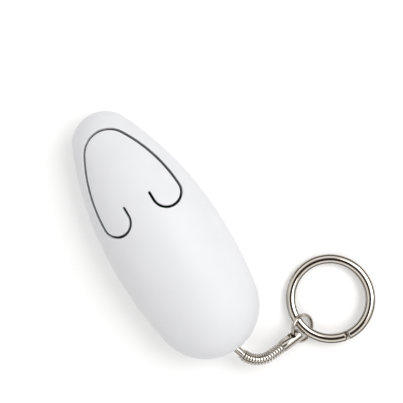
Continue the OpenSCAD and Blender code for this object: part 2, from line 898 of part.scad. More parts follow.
top_shell();
press_button();
bottom_shell();
battery_door();
battery_door_screw();
housing_screws();
nose_window();
laser_barrel();
laser_diode();
collimator_lens();
lens_nut();
circuit_board();
push_switch();
switch_plunger();
driver_parts();
for (i = [1:cells]) {
    button_cell(i);
}
cell_spring();
cell_contact();
red_lead();
black_lead();
tail_pin();
tail_ferrule();
for (i = [1:links]) {
    chain_link(i);
}
chain_end_cap();
jump_ring();
key_ring();
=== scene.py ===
import json
import math

import bmesh
import bpy
from mathutils import Matrix, Vector
from mathutils.geometry import delaunay_2d_cdt

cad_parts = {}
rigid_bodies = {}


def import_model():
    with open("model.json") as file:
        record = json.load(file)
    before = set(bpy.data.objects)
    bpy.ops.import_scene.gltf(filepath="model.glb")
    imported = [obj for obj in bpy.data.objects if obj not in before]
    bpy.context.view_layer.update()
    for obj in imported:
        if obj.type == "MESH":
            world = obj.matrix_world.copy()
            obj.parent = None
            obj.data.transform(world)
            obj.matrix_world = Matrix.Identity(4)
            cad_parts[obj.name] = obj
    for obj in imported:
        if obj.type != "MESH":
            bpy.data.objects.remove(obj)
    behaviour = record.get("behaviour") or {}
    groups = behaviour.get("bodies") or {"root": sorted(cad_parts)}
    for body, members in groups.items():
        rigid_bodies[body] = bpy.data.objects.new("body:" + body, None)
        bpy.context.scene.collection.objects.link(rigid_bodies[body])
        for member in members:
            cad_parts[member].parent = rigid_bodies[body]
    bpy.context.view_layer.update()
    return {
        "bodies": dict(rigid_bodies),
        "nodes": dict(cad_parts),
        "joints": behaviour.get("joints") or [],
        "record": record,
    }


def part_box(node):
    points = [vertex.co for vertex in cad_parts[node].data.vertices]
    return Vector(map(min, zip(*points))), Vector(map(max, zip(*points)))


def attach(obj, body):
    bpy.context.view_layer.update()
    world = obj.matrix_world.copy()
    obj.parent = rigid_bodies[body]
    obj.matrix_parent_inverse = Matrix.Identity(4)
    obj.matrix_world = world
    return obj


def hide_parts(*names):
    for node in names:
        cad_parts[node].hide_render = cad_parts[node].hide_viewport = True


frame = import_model()

# Sizes are in millimetres, and meshes are written in metres
MM = 0.001
FULL_TURN = 2 * math.pi
HALF_TURN = math.pi
QUARTER_TURN = math.pi / 2
UPRIGHT = Vector((0, 0, 1))
FORWARD = Vector((0, 1, 0))

# Tolerances: slack for rounding, least radius at a pole, places that count as one, and reach of an edge
slack = 1e-9
least_r = 1e-6
same_place = 1e-4
on_edge = 1e-3

# Body of revolution about its long axis: two end circles joined by flank arcs
body_len = 76.0
half_width = 16.5
widest_from_tail = 32.5
nose_r = 9.3
tail_r = 14.9
wall = 1.6
axis_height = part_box("top_shell")[0][2] / MM

nose_y = body_len / 2
tail_y = -body_len / 2
wide_y = tail_y + widest_from_tail
nose_c = nose_y - nose_r
tail_c = tail_y + tail_r

# Slit round the press button: its walls lean to the upright by a share that fades with the distance
slit_w = 0.72
slit_upright = 0.55
slit_fade = 3.0
# Gap inside the hidden seam at the neck, which lets the button tip down
seam_relief = 0.2
# Middle line of the slit: an arc round the front, two flank arcs, two hooks and their straight tips
slit_front_r = 6.9
slit_from_nose = 6.1
slit_front_c = nose_y - slit_from_nose - slit_front_r
slit_flank_r = 42.0
hook_r = 3.85
hook_x = 7.75
hook_from_nose = 29.5
hook_y = nose_y - hook_from_nose
hook_tip = 2.2
neck_x = hook_x - hook_r
neck_y = hook_y + hook_tip

# Openings at the nose and the tail, and the turn of the outline from the nose tip to the nose opening
mouth_r = 2.4
mouth_turn = math.asin(mouth_r / nose_r)
aperture_r = 1.6
slot_half = 3.1
slot_up = 1.4
slot_down = 2.2
slot_corner = 0.6

# Underside: eased edge, screw pockets and battery door
edge_ease = 1.6
pocket_r = 2.05
pocket_depth = 3.4
boss_r = 2.6
boss_top = 4.4
front_screw = (10.5, -1.0)
rear_screw = (9.5, -21.75)
screw_places = [(side * x, y) for x, y in (front_screw, rear_screw) for side in (-1, 1)]
door_gap = 0.2
door_corner = 2.5
door_low, door_high = (Vector(corner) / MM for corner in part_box("battery_door"))
door_screw_low, door_screw_high = (Vector(corner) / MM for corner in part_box("battery_door_screw"))
door_screw_y = (door_screw_low.y + door_screw_high.y) / 2
door_recess_r = 1.75
door_recess = 0.9

# Small radius on every moulded edge, and how finely the sheets are divided
moulded_r = 0.12
edge_steps = [moulded_r * (1 - math.cos(math.radians(a))) for a in (0, 30, 60, 90)]
sheet_step = 1.05
line_step = 0.4
tip_step = line_step / 4
# Lean of a recess's wall, so that its top and its foot stay apart when seen flat
wall_lean = 0.02
# How far the dots of a sheet keep from the edge of the door, of a pocket and of the slit's round
door_clear = 0.5
pocket_clear = 0.9
slit_clear = sheet_step / 3

joints = {joint["name"]: joint for joint in frame["joints"]}
mounts = {mount["name"]: mount for mount in frame["record"]["mounts"]}


def hinge(name):
    """Place in millimetres and axis of a hinge."""
    return Vector(joints[name]["pos_m"]) / MM, Vector(joints[name]["axis"]).normalized()


# Tail chain and rings, from the hinges that they turn on
link_names = [body for body in frame["bodies"] if body.startswith("link_")]
link_count = len(link_names)
link_feet = [hinge("chain_bend" if i == 0 else "chain_bend_%d" % (i + 1))[0] for i in range(link_count)]
link_pitch = (link_feet[1] - link_feet[0]).length
link_r = 1.6
link_thick = 0.58
link_round = 0.1
hub_r = 0.7
ferrule_r = 1.1
collar_r = 1.4
collar_len = 0.7
cap_r = 1.75
cap_len = 6.6
cap_eye_r = 1.45
pin_place = hinge("tail_swing")[0]
eye_place, eye_axis = hinge("jump_ring_swing")
jump_place, jump_axis = hinge("key_ring_swing")
jump_r = (jump_place - eye_place).length
jump_wire_r = 0.5
ring_place = Vector(mounts["key_ring_hole"]["pos_m"]) / MM
ring_axis = Vector(mounts["key_ring_hole"]["axis"]).normalized()
# Split ring: outside diameter, width of the band, thickness of a turn, gap between turns, and the step
ring_od = 25.0
ring_band = 2.6
ring_turn = 1.0
ring_split = 0.1
ring_step_at = math.radians(262)
ring_step_half = math.radians(4)


# Flank arcs, and the turn of the outline at which the four arcs of one side meet
def flank_radius(run, end_r):
    """Radius of the arc that joins an end circle to the widest place."""
    return (half_width ** 2 + run ** 2 - 2 * end_r * run) / (2 * (half_width - end_r))


front_flank_r = flank_radius(nose_y - wide_y, nose_r)
rear_flank_r = flank_radius(wide_y - tail_y, tail_r)
rear_join = math.acos((wide_y - tail_c) / (rear_flank_r - tail_r))
front_join = math.acos((wide_y - nose_c) / (front_flank_r - nose_r))
# Each arc: turn where it ends, centre across, centre along, radius
ARCS = [
    (rear_join, 0.0, tail_c, tail_r),
    (QUARTER_TURN, half_width - rear_flank_r, wide_y, rear_flank_r),
    (front_join, half_width - front_flank_r, wide_y, front_flank_r),
    (HALF_TURN, 0.0, nose_c, nose_r),
]


def clamped(value, low, high):
    """Value held between two limits."""
    return max(low, min(high, value))


def outline(turn, inset=0.0):
    """Radius and station of the body where its outline has turned from the tail by an angle."""
    for end, across, along, r in ARCS:
        if turn <= end + slack:
            break
    return across + (r - inset) * math.sin(turn), along - (r - inset) * math.cos(turn)


def run_of_turn(turn):
    """Length along the outline from the tail tip."""
    run = 0.0
    start = 0.0
    for end, _, _, r in ARCS:
        run += r * (min(turn, end) - start)
        if turn <= end:
            break
        start = end
    return run


def turn_of_run(run):
    """Turn of the outline at a length along it from the tail tip."""
    start = 0.0
    for end, _, _, r in ARCS:
        if run <= r * (end - start):
            break
        run -= r * (end - start)
        start = end
    return min(start + run / r, HALF_TURN)


def turn_of_station(y, inset=0.0):
    """Turn of the outline at a station along the body."""
    for end, _, along, r in ARCS:
        if y <= outline(end, inset)[1] + slack:
            break
    return math.acos(clamped((along - y) / (r - inset), -1.0, 1.0))


def unrolled(turn, roll):
    """Flat place of a point on the body: arc length across, and arc length along."""
    return Vector((roll * outline(turn)[0], run_of_turn(turn)))


def unrolled_plan(x, y):
    """Flat place of a point on the body that is given as seen from above."""
    turn = turn_of_station(y)
    r = max(outline(turn)[0], least_r)
    return unrolled(turn, math.asin(clamped(x / r, -1.0, 1.0)))


def unrolled_loop(points):
    """Flat places of points on the body that are given as seen from above."""
    return [unrolled_plan(*p) for p in points]


def rolled(flat):
    """Turn along the outline and roll about the long axis of a flat place."""
    turn = turn_of_run(flat.y)
    r = max(outline(turn)[0], least_r)
    return turn, clamped(flat.x / r, -QUARTER_TURN, QUARTER_TURN)


def rounded_drop(distance):
    """How far a moulded edge's round falls below the surface at a distance from the edge."""
    if distance >= moulded_r:
        return 0.0
    across = moulded_r - max(distance, 0.0)
    return moulded_r - math.sqrt(moulded_r ** 2 - across ** 2)


# Meshes: the degrees from which an edge is shaded sharp, and the segments round a turned piece
SHARP_EDGE = 40
TURNED_SEGMENTS = 48
FINE_SEGMENTS = 64


def piece(name, points, faces, material, sharp=SHARP_EDGE):
    """New object at the origin from points in millimetres, smooth between its sharp edges."""
    mesh = bpy.data.meshes.new(name)
    mesh.from_pydata([Vector(p) * MM for p in points], [], faces)
    made = bmesh.new()
    made.from_mesh(mesh)
    bmesh.ops.remove_doubles(made, verts=made.verts, dist=same_place * MM)
    bmesh.ops.recalc_face_normals(made, faces=made.faces)
    made.to_mesh(mesh)
    made.free()
    return placed(name, mesh, material, sharp)


def placed(name, mesh, material, sharp=SHARP_EDGE):
    """New object at the origin from a finished mesh."""
    mesh.name = name
    mesh.materials.clear()
    mesh.materials.append(material)
    mesh.shade_smooth()
    mesh.set_sharp_from_angle(angle=math.radians(sharp))
    made = bpy.data.objects.new(name, mesh)
    bpy.context.collection.objects.link(made)
    return made


def triangulated(loops, lines, dots):
    """Fills closed loops with triangles that keep to lines and dots.

    Gives the flat points, and each triangle with the numbers of the loops that hold it.
    """
    inside_only = 1
    closeness = 1e-5
    points, edges, faces = [], [], []
    for loop in loops:
        area = sum(a.x * b.y - b.x * a.y for a, b in zip(loop, loop[1:] + loop[:1]))
        faces.append(list(range(len(points), len(points) + len(loop))))
        points += loop if area > 0 else reversed(loop)
    for line in lines:
        edges += [(i, i + 1) for i in range(len(points), len(points) + len(line) - 1)]
        points += line
    points += dots
    flat, _, triangles, _, _, owners = delaunay_2d_cdt(
        [Vector(p) for p in points], edges, faces, inside_only, closeness)
    return flat, [(tuple(t), set(held)) for t, held in zip(triangles, owners)]


def thick_sheet(flat, triangles, outer, inner):
    """Points and faces of a closed wall between two sheets that share their triangles."""
    used = sorted({i for t in triangles for i in t})
    order = {old: new for new, old in enumerate(used)}
    count = len(used)
    points = [outer(flat[i]) for i in used] + [inner(flat[i]) for i in used]
    front = [tuple(order[i] for i in t) for t in triangles]
    ways = {(t[i], t[(i + 1) % 3]) for t in front for i in range(3)}
    sides = [(b, a, a + count, b + count) for a, b in ways if (b, a) not in ways]
    back = [tuple(count + i for i in reversed(t)) for t in front]
    return points, front + back + sides


def ring_faces(rings, count):
    """Faces between neighbouring rings of points."""
    faces = []
    for i in range(rings - 1):
        for k in range(count):
            a, b = i * count + k, i * count + (k + 1) % count
            faces.append((a, b, b + count, a + count))
    return faces


def lathe(profile, place, along, segments=TURNED_SEGMENTS):
    """Points and faces of a profile of (radius, height) turned about an axis.

    The profile begins and ends on the axis, or ends where it began.
    """
    turn = UPRIGHT.rotation_difference(along)
    points = []
    for r, h in profile:
        for k in range(segments):
            a = FULL_TURN * k / segments
            points.append(place + turn @ Vector((r * math.cos(a), r * math.sin(a), h)))
    return points, ring_faces(len(profile), segments)


def swept(section, frames):
    """Points and faces of a section carried along frames of (place, across, up), with flat ends."""
    count = len(section)
    points = [place + x * across + z * up for place, across, up in frames for x, z in section]
    faces = ring_faces(len(frames), count)
    faces.append(tuple(range(count)))
    faces.append(tuple(reversed(range(len(points) - count, len(points)))))
    return points, faces


def arc(centre, r, start, end, step=line_step):
    """Points along an arc, angles in degrees, both ends included."""
    count = max(2, math.ceil(abs(math.radians(end - start)) * r / step))
    angles = [math.radians(start + (end - start) * i / count) for i in range(count + 1)]
    return [Vector((centre[0] + r * math.cos(a), centre[1] + r * math.sin(a))) for a in angles]


def straight(a, b, step=line_step):
    """Points along a straight line, both ends included."""
    count = max(1, math.ceil((b - a).length / step))
    return [a.lerp(b, i / count) for i in range(count + 1)]


def without_repeats(points):
    """Points less each one that lies on the one before it."""
    return [p for i, p in enumerate(points) if i == 0 or (p - points[i - 1]).length > same_place]


def closed(points):
    """Points of a loop as a line that returns to its start."""
    return points + points[:1]


# Materials
def linear(hex_colour):
    """Linear RGBA of an sRGB hex colour."""
    parts = [int(hex_colour[i:i + 2], 16) / 255 for i in (1, 3, 5)]
    return [c / 12.92 if c <= 0.04045 else ((c + 0.055) / 1.055) ** 2.4 for c in parts] + [1.0]


def node(tree, kind, values=(), links=(), **fields):
    """Adds a node, with its fields, its socket values and its incoming links."""
    made = tree.nodes.new(kind)
    for field, value in fields.items():
        setattr(made, field, value)
    for socket, value in dict(values).items():
        made.inputs[socket].default_value = value
    for socket, source in dict(links).items():
        tree.links.new(source, made.inputs[socket])
    return made


def surface(name, **values):
    """New material with its shader's plain values set on the shader's own sockets."""
    material = bpy.data.materials.new(name)
    material.use_nodes = True
    shader = material.node_tree.nodes["Principled BSDF"]
    for socket, value in values.items():
        shader.inputs[socket.replace("_", " ")].default_value = value
    return material, material.node_tree, shader


def mottled(name, pale, dark, patch_mm, rough, grain_mm, grain_depth_mm, **values):
    """Material whose colour drifts between two tones in patches, with roughness to match and a fine grain."""
    dark_stop = 0.35
    pale_stop = 0.65
    material, tree, shader = surface(name, **values)
    place = node(tree, "ShaderNodeTexCoord").outputs["Object"]
    patches = node(tree, "ShaderNodeTexNoise", {"Scale": 1 / (patch_mm * MM), "Detail": 3.0},
                   {"Vector": place})
    tone = node(tree, "ShaderNodeValToRGB", links={"Fac": patches.outputs["Fac"]})
    tone.color_ramp.elements[0].position = dark_stop
    tone.color_ramp.elements[1].position = pale_stop
    tone.color_ramp.elements[0].color = linear(dark)
    tone.color_ramp.elements[1].color = linear(pale)
    tree.links.new(tone.outputs["Color"], shader.inputs["Base Color"])
    gloss = node(tree, "ShaderNodeMapRange", {"To Min": rough[0], "To Max": rough[1]},
                 {"Value": patches.outputs["Fac"]})
    tree.links.new(gloss.outputs["Result"], shader.inputs["Roughness"])
    grain = node(tree, "ShaderNodeTexNoise", {"Scale": 1 / (grain_mm * MM), "Detail": 2.0},
                 {"Vector": place})
    bump = node(tree, "ShaderNodeBump", {"Strength": 1.0, "Distance": grain_depth_mm * MM},
                {"Height": grain.outputs["Fac"]})
    tree.links.new(bump.outputs["Normal"], shader.inputs["Normal"])
    return material


def white_abs():
    """Injection-moulded white ABS: an even, soft-gloss white with a faint flow mottle."""
    return mottled("white_abs_moulded", "#e3e4e7", "#e0e1e4",
                   patch_mm=9.0, rough=(0.5, 0.55), grain_mm=0.5, grain_depth_mm=0.002, IOR=1.54)


def polished_nickel():
    """Nickel plate polished bright: sharp warm-grey reflections, with faint polishing waves."""
    return mottled("nickel_plate_polished", "#bcb6ad", "#b5afa6",
                   patch_mm=3.0, rough=(0.05, 0.08), grain_mm=0.9, grain_depth_mm=0.0008, Metallic=1.0)


def zinc_steel():
    """Zinc-plated steel screws: a cooler, duller metal with a slight bloom."""
    return mottled("steel_zinc_plated", "#c4c6c8", "#a9abae",
                   patch_mm=0.6, rough=(0.25, 0.4), grain_mm=0.15, grain_depth_mm=0.004, Metallic=1.0)


def tinted_window():
    """Clear red acrylic window: a glossy see-through disc that tints what lies behind it."""
    return mottled("acrylic_clear_red", "#e8505a", "#d8404c",
                   patch_mm=2.0, rough=(0.03, 0.06), grain_mm=0.4, grain_depth_mm=0.001,
                   IOR=1.49, Transmission_Weight=0.85)


def turned_brass():
    """Turned brass: yellow metal with fine tool marks."""
    return mottled("brass_turned", "#c9a25a", "#b58c45",
                   patch_mm=1.2, rough=(0.2, 0.3), grain_mm=0.12, grain_depth_mm=0.006, Metallic=1.0)


def lens_glass():
    """Moulded clear lens: colourless and polished."""
    return mottled("acrylic_clear_lens", "#f2f6f8", "#eaf0f2",
                   patch_mm=2.0, rough=(0.01, 0.03), grain_mm=0.3, grain_depth_mm=0.0005,
                   IOR=1.49, Transmission_Weight=1.0)


def solder_mask():
    """Green solder mask on glass-fibre board: semi-gloss with a fine weave showing through."""
    return mottled("board_green_mask", "#1f6b3d", "#185630",
                   patch_mm=1.0, rough=(0.3, 0.4), grain_mm=0.2, grain_depth_mm=0.01, IOR=1.5)


def black_moulding():
    """Black moulded plastic of switch and chip bodies: satin with a fine grain."""
    return mottled("plastic_black_satin", "#1c1c1e", "#141415",
                   patch_mm=0.8, rough=(0.4, 0.5), grain_mm=0.1, grain_depth_mm=0.005, IOR=1.5)


def grey_moulding():
    """Dark grey moulded plunger: satin."""
    return mottled("plastic_grey_satin", "#5a5b5e", "#4c4d50",
                   patch_mm=0.8, rough=(0.4, 0.5), grain_mm=0.1, grain_depth_mm=0.005, IOR=1.5)


def cell_steel():
    """Nickel-plated steel of button cells and contacts: bright with a brushed bloom."""
    return mottled("steel_nickel_plated", "#cfcdc7", "#bcb9b1",
                   patch_mm=1.0, rough=(0.18, 0.28), grain_mm=0.12, grain_depth_mm=0.004, Metallic=1.0)


def red_sleeve():
    """Red PVC insulation: slightly waxy."""
    return mottled("pvc_red", "#b3211f", "#9c1a19",
                   patch_mm=0.8, rough=(0.35, 0.45), grain_mm=0.2, grain_depth_mm=0.004, IOR=1.53)


def black_sleeve():
    """Black PVC insulation: slightly waxy."""
    return mottled("pvc_black", "#1b1b1b", "#121212",
                   patch_mm=0.8, rough=(0.35, 0.45), grain_mm=0.2, grain_depth_mm=0.004, IOR=1.53)


ABS = white_abs()
NICKEL = polished_nickel()
ZINC = zinc_steel()
CELL = cell_steel()
BRASS = turned_brass()
BLACK = black_moulding()


# Shells, button and door
def slit_line():
    """Middle line of the slit from its left tip round the button to its right tip, seen from above."""
    reach = Vector((hook_x, hook_y - slit_front_c))
    to_front = slit_flank_r - slit_front_r
    to_hook = slit_flank_r - hook_r
    along = (to_front ** 2 - to_hook ** 2 + reach.length_squared) / (2 * reach.length)
    aside = math.sqrt(to_front ** 2 - along ** 2)
    way = reach.normalized()
    flank_c = Vector((0, slit_front_c)) + way * along + Vector((way.y, -way.x)) * aside
    hook_c = Vector((hook_x, hook_y))
    front_c = Vector((0, slit_front_c))
    low = hook_c - flank_c
    high = front_c - flank_c
    low_angle = math.degrees(math.atan2(low.y, low.x))
    high_angle = math.degrees(math.atan2(high.y, high.x))
    right = arc(front_c, slit_front_r, 90, high_angle)
    right += arc(flank_c, slit_flank_r, high_angle, low_angle)
    right += arc(hook_c, hook_r, low_angle, -180)
    right += straight(Vector((neck_x, hook_y)), Vector((neck_x, neck_y)))
    right = without_repeats(right)
    left = [Vector((-p.x, p.y)) for p in reversed(right)]
    return left[:-1] + right


SLIT = slit_line()


def slit_distance(x, y):
    """Distance from the slit's middle line, seen from above."""
    p = Vector((x, y))
    best = math.inf
    for a, b in zip(SLIT, SLIT[1:]):
        run = b - a
        share = clamped((p - a).dot(run) / run.length_squared, 0.0, 1.0)
        best = min(best, (p - a - run * share).length_squared)
    return math.sqrt(best)


def slit_band(half):
    """Outline of the slit at a distance from its middle line, with round ends."""
    sides = {-1: [], 1: []}
    for i, p in enumerate(SLIT):
        way = (SLIT[min(i + 1, len(SLIT) - 1)] - SLIT[max(i - 1, 0)]).normalized()
        for side in sides:
            sides[side].append(p + side * half * Vector((-way.y, way.x)))
    right_tip = arc(SLIT[-1], half, 180, 0, tip_step)[1:-1]
    left_tip = arc(SLIT[0], half, 180, 0, tip_step)[1:-1]
    return sides[1] + right_tip + list(reversed(sides[-1])) + left_tip


def rim_line(side, inset, first, last):
    """Line beside the parting edge, from one turn of the outline to another."""
    low, high = run_of_turn(first), run_of_turn(last)
    count = math.ceil((high - low) / sheet_step)
    line = []
    for i in range(count + 1):
        run = low + (high - low) * i / count
        r = outline(turn_of_run(run))[0]
        line.append(Vector((side * (QUARTER_TURN * r - inset), run)))
    return line


def mouth_line(inset):
    """Line round the nose opening, from one parting edge over to the other."""
    degrees_apart = 6
    turn = HALF_TURN - mouth_turn - inset / nose_r
    return [unrolled(turn, math.radians(a)) for a in range(90, -91, -degrees_apart)]


def tail_line(rise):
    """Edge of the tail opening, from the left parting edge over to the right one."""
    bend_x = slot_corner - slot_half
    bend_y = rise - slot_corner
    half = straight(Vector((-slot_half, 0)), Vector((-slot_half, bend_y)))
    half += arc((bend_x, bend_y), slot_corner, 180, 90)
    half += straight(Vector((bend_x, rise)), Vector((0, rise)))
    whole = without_repeats(half + [Vector((-p.x, p.y)) for p in reversed(half)])
    return [unrolled(math.asin(p.length / tail_r), math.atan2(p.x, p.y)) for p in whole]


def shell_outline(rise):
    """Closed edge of one shell: tail opening, right rim, nose opening and left rim."""
    first = math.asin(slot_half / tail_r)
    last = HALF_TURN - mouth_turn
    loop = tail_line(rise) + rim_line(1, 0, first, last) + mouth_line(0)
    return without_repeats(loop + list(reversed(rim_line(-1, 0, first, last))))[:-1]


def shell_creases():
    """Lines that carry the round of the rims and of the nose opening."""
    clear_of_slot = 0.5
    first = math.asin((slot_half + clear_of_slot) / tail_r)
    last = HALF_TURN - mouth_turn
    lines = []
    for step in edge_steps[1:]:
        lines += [rim_line(-1, step, first, last), rim_line(1, step, first, last), mouth_line(step)]
    return lines


def sheet_dots(keeps_clear):
    """Staggered points over a shell that keep clear of its edges."""
    bare_rows_at_tail = 4
    bare_rows_at_nose = 2
    dots = []
    rows = math.floor(run_of_turn(HALF_TURN) / sheet_step)
    for row in range(bare_rows_at_tail, rows - bare_rows_at_nose):
        run = row * sheet_step
        half = QUARTER_TURN * outline(turn_of_run(run))[0] - sheet_step / 2
        count = math.floor(half / sheet_step)
        stagger = 0.5 * (row % 2)
        for k in range(-count, count + 1):
            across = (k + stagger) * sheet_step
            if abs(across) < half and keeps_clear(Vector((across, run))):
                dots.append(Vector((across, run)))
    return dots


def edge_drop(turn, roll):
    """Fall of the round at the rims and the nose opening."""
    r = outline(turn)[0]
    to_rim = (QUARTER_TURN - abs(roll)) * r
    to_mouth = (HALF_TURN - turn) * nose_r - mouth_turn * nose_r
    return rounded_drop(min(to_rim, to_mouth))


def top_point(flat, inset):
    """Point of the upper half, drawn in from the outside by an inset."""
    turn, roll = rolled(flat)
    r, y = outline(turn, inset)
    return Vector((r * math.sin(roll), y, axis_height + r * math.cos(roll)))


def top_outer(flat):
    """Outside of the upper half, rounded off at its edges and along the slit."""
    turn, roll = rolled(flat)
    plain = top_point(flat, 0)
    drop = max(edge_drop(turn, roll), rounded_drop(slit_distance(plain.x, plain.y) - slit_w / 2))
    return top_point(flat, drop)


def top_inner(flat):
    """Inside of the upper half, straight below the outside next to the slit and square to it elsewhere."""
    square = top_point(flat, wall)
    plain = top_point(flat, 0)
    near = 1 - (slit_distance(plain.x, plain.y) - slit_w / 2) / slit_fade
    if near <= 0:
        return square
    r = outline(turn_of_station(plain.y, wall), wall)[0]
    below = Vector((plain.x, plain.y, axis_height + math.sqrt(max(r * r - plain.x ** 2, 0))))
    # The nearer half of the fade has the whole effect
    return square.lerp(below, slit_upright * min(near * 2, 1))


def upper_shell_and_button():
    """Upper shell and its press button, cut from one sheet by the slit and by a hidden seam at the neck."""
    seam_y = neck_y + slit_w / 2
    tips = [Vector((-neck_x, seam_y)), Vector((neck_x, seam_y))]
    seam = straight(tips[1], tips[0])
    tongue_edge = [tips[0]] + SLIT + seam[:-1]
    # Loop 0 is the edge of the shell, loop 1 the slit and loop 2 the edge of the tongue
    loops = [shell_outline(slot_up), unrolled_loop(slit_band(slit_w / 2)), unrolled_loop(tongue_edge)]
    lines = shell_creases()
    for step in edge_steps[1:]:
        lines.append(unrolled_loop(closed(slit_band(slit_w / 2 + step))))

    def clear_of_slit(flat):
        """Whether a flat place lies clear of the slit."""
        plain = top_point(flat, 0)
        return slit_distance(plain.x, plain.y) > slit_w / 2 + moulded_r + slit_clear

    flat, triangles = triangulated(loops, lines, sheet_dots(clear_of_slit))
    shell = [t for t, held in triangles if held == {0}]
    tongue = [t for t, held in triangles if held == {0, 2}]

    def tongue_inner(flat):
        """Inside of the button, relieved at the seam so that it can tip down."""
        point = top_inner(flat)
        if abs(top_point(flat, 0).y - seam_y) < on_edge and abs(point.x) < neck_x + on_edge:
            point.y += seam_relief
        return point

    cuts = [
        ("upper_shell", shell, top_inner, "housing", "top_shell"),
        ("press_button_tongue", tongue, tongue_inner, "button", "press_button"),
    ]
    for name, cut, inner, body, cad in cuts:
        made = piece(name, *thick_sheet(flat, cut, top_outer, inner), ABS)
        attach(made, body)
        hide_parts(cad)


def eased(height):
    """Height above the floor with the edge to the flat underside rounded off."""
    blend = max(edge_ease - abs(height), 0) / edge_ease
    return max(height, 0) + blend ** 2 * edge_ease / 4


def door_outline(grow):
    """Closed outline of the battery door, drawn out by a gap."""
    r = door_corner + grow
    low = Vector((door_low.x - grow + r, door_low.y - grow + r))
    high = Vector((door_high.x + grow - r, door_high.y + grow - r))
    corners = [((high.x, high.y), 0), ((low.x, high.y), 90), ((low.x, low.y), 180), ((high.x, low.y), 270)]
    loop = []
    for centre, start in corners:
        loop += arc(centre, r, start, start + 90)
    ends = zip(loop, loop[1:] + loop[:1])
    return without_repeats([p for a, b in ends for p in straight(a, b, sheet_step)[:-1]])


def door_distance(x, y):
    """Distance outside the battery door's outline, negative inside."""
    middle = (door_low + door_high) / 2
    half = (door_high - door_low) / 2
    across = Vector((abs(x - middle.x) - half.x + door_corner, abs(y - middle.y) - half.y + door_corner))
    outside = Vector((max(across.x, 0), max(across.y, 0))).length
    return outside + min(max(across.x, across.y), 0) - door_corner


def pocket_distance(x, y):
    """Distance from the middle of the nearest screw pocket."""
    return min(math.hypot(x - px, y - py) for px, py in screw_places)


def bottom_outer(flat):
    """Outside of the lower half, with the floors of the screw pockets and rounds along its edges."""
    turn, roll = rolled(flat)
    r, y = outline(turn)
    x = r * math.sin(roll)
    pocket = pocket_distance(x, y)
    if pocket < pocket_r - on_edge:
        return Vector((x, y, pocket_depth))
    drop = edge_drop(turn, roll)
    r, y = outline(turn, drop)
    height = eased(axis_height - r * math.cos(roll))
    lift = max(rounded_drop(door_distance(x, y) - door_gap), rounded_drop(pocket - pocket_r))
    return Vector((r * math.sin(roll), y, height + lift))


def bottom_inner(flat):
    """Inside of the lower half, flat above the underside and raised over the screw pockets."""
    turn, roll = rolled(flat)
    r, y = outline(turn, wall)
    x = r * math.sin(roll)
    raw = outline(turn)
    if pocket_distance(raw[0] * math.sin(roll), raw[1]) < boss_r - on_edge:
        return Vector((x, y, boss_top))
    return Vector((x, y, max(axis_height - r * math.cos(roll), wall)))


def lower_shell():
    """Lower shell: flat underneath with an eased edge, a door opening and four screw pockets."""
    loops = [shell_outline(slot_down), unrolled_loop(door_outline(door_gap))]
    lines = shell_creases()
    for step in edge_steps[1:]:
        lines.append(unrolled_loop(closed(door_outline(door_gap + step))))
    rings = [pocket_r - wall_lean] + [pocket_r + step for step in edge_steps] + [boss_r - wall_lean, boss_r]
    for place in screw_places:
        for r in rings:
            lines.append(unrolled_loop(arc(place, r, 0, 360)))

    def clear_of_cuts(flat):
        """Whether a flat place lies clear of the door and of the pockets' edges."""
        turn, roll = rolled(flat)
        r, y = outline(turn)
        x = r * math.sin(roll)
        if door_distance(x, y) <= door_gap + door_clear:
            return False
        return abs(pocket_distance(x, y) - pocket_r) > pocket_clear

    flat, triangles = triangulated(loops, lines, sheet_dots(clear_of_cuts))
    shell = [tuple(reversed(t)) for t, held in triangles if held == {0}]
    made = piece("lower_shell", *thick_sheet(flat, shell, bottom_outer, bottom_inner), ABS)
    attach(made, "housing")
    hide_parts("bottom_shell")


def battery_door_plate():
    """Battery door: a plate with rounded edges and a recess for its screw."""
    recess = (0.0, door_screw_y)
    lines = [closed(door_outline(-step)) for step in edge_steps[1:]]
    for r in [door_recess_r - wall_lean] + [door_recess_r + step for step in edge_steps]:
        lines.append(arc(recess, r, 0, 360))

    def from_recess(flat):
        """Distance from the middle of the screw's recess."""
        return (flat - Vector(recess)).length

    dots = []
    for i in range(math.ceil((door_high.x - door_low.x) / sheet_step)):
        for j in range(math.ceil((door_high.y - door_low.y) / sheet_step)):
            p = Vector((door_low.x + i * sheet_step, door_low.y + j * sheet_step))
            if door_distance(*p) < -door_clear and abs(from_recess(p) - door_recess_r) > door_clear:
                dots.append(p)

    def under(flat):
        """Underside of the door, with the recess and the rounds of its edges."""
        away = from_recess(flat)
        if away < door_recess_r - on_edge:
            return Vector((flat.x, flat.y, door_recess))
        drop = max(rounded_drop(-door_distance(*flat)), rounded_drop(away - door_recess_r))
        return Vector((flat.x, flat.y, drop))

    def over(flat):
        """Inside of the door."""
        return Vector((flat.x, flat.y, wall))

    flat, triangles = triangulated([door_outline(0)], lines, dots)
    plate = [tuple(reversed(t)) for t, _ in triangles]
    made = piece("battery_door_plate", *thick_sheet(flat, plate, under, over), ABS)
    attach(made, "door")
    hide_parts("battery_door")


def nose_bezel():
    """Liner of the nose opening, which flares out to the shells and holds the window."""
    gap = 0.05
    liner_wall = 0.4
    shoulder = 0.9
    lip_gap = 0.02
    lip_start = 0.25
    lip_round = 0.1
    flare_foot = 1.5
    throat = 1.7
    lip_y = nose_c + math.sqrt(nose_r ** 2 - mouth_r ** 2) - gap
    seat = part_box("nose_window")[1][1] / MM + gap
    outer_r = mouth_r + liner_wall
    profile = [
        (outer_r, seat),
        (outer_r, lip_y - shoulder),
        (mouth_r - lip_gap, lip_y - lip_start),
        (mouth_r - lip_round, lip_y - lip_round),
        (aperture_r + lip_round, lip_y - flare_foot),
        (aperture_r, lip_y - throat),
        (aperture_r, seat),
        (outer_r, seat),
    ]
    place = Vector((0, 0, axis_height))
    made = piece("nose_bezel", *lathe(profile, place, FORWARD, FINE_SEGMENTS), ABS)
    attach(made, "housing")


